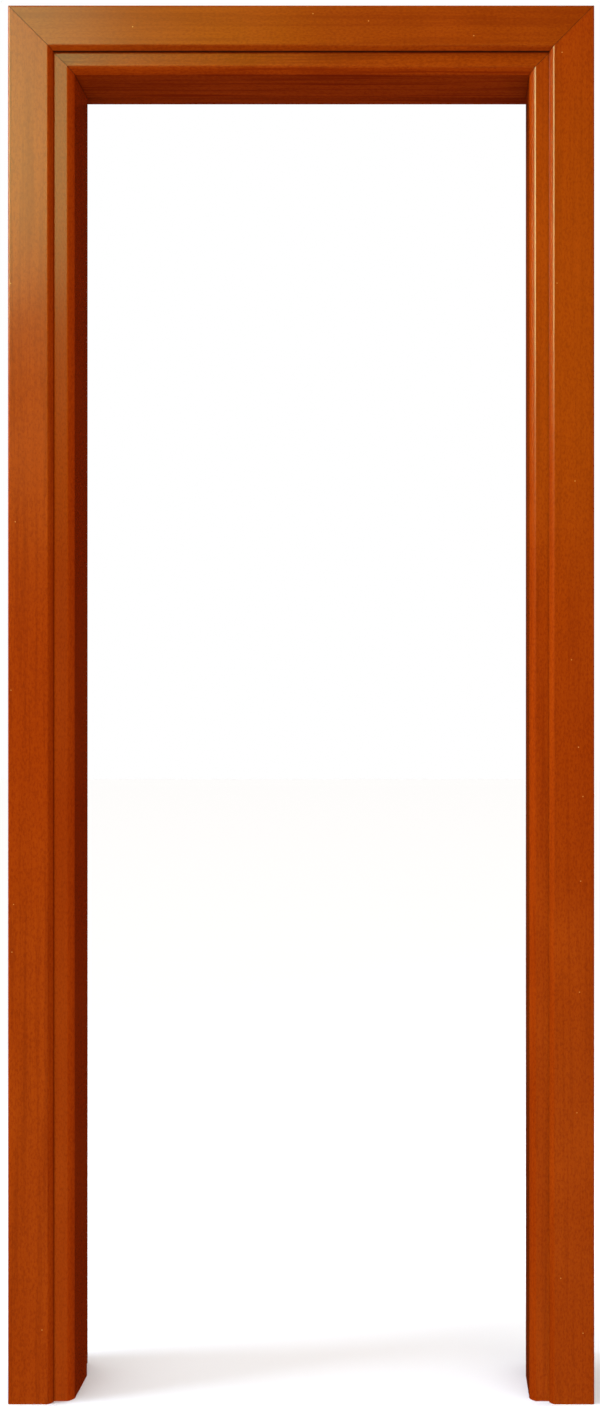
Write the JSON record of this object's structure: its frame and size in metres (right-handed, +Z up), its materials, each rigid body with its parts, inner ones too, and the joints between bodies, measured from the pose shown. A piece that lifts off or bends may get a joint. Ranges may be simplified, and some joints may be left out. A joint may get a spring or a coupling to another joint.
{
  "type": "door frame",
  "caption": "Mitred timber door frame with a rebated lining, a rubber seal and moulded architraves on both wall faces, for a single hinged leaf.",
  "frame": {"origin": "floor level, in the middle of the opening's width and of the wall's thickness", "axes": "+Z up; +X to the right seen from the front, the side without the rebate; +Y from front to rear, towards the leaf"},
  "size_m": [0.878, 0.15, 2.094],
  "materials": {
    "lining_wood": "satin clear lacquer over stained wood",
    "architrave_wood": "satin clear lacquer over stained wood",
    "seal_rubber": "matt",
    "dowel_beech": "bare, fluted",
    "screw_steel": "yellow zinc plated",
    "connector_nylon": "moulded, natural"
  },
  "bodies": {
    "root": {"jamb_left": "lining_wood", "jamb_right": "lining_wood", "head_lining": "lining_wood", "front_architrave_left": "architrave_wood", "front_architrave_right": "architrave_wood", "front_architrave_head": "architrave_wood", "rear_architrave_left": "architrave_wood", "rear_architrave_right": "architrave_wood", "rear_architrave_head": "architrave_wood", "seal_left": "seal_rubber", "seal_right": "seal_rubber", "seal_head": "seal_rubber", "dowel_left_front": "dowel_beech", "dowel_left_rear": "dowel_beech", "dowel_right_front": "dowel_beech", "dowel_right_rear": "dowel_beech", "corner_screw_left_front": "screw_steel", "corner_screw_left_rear": "screw_steel", "corner_screw_right_front": "screw_steel", "corner_screw_right_rear": "screw_steel", "connector_front_left": "connector_nylon", "connector_front_right": "connector_nylon", "connector_rear_left": "connector_nylon", "connector_rear_right": "connector_nylon"}
  },
  "joints": []
}
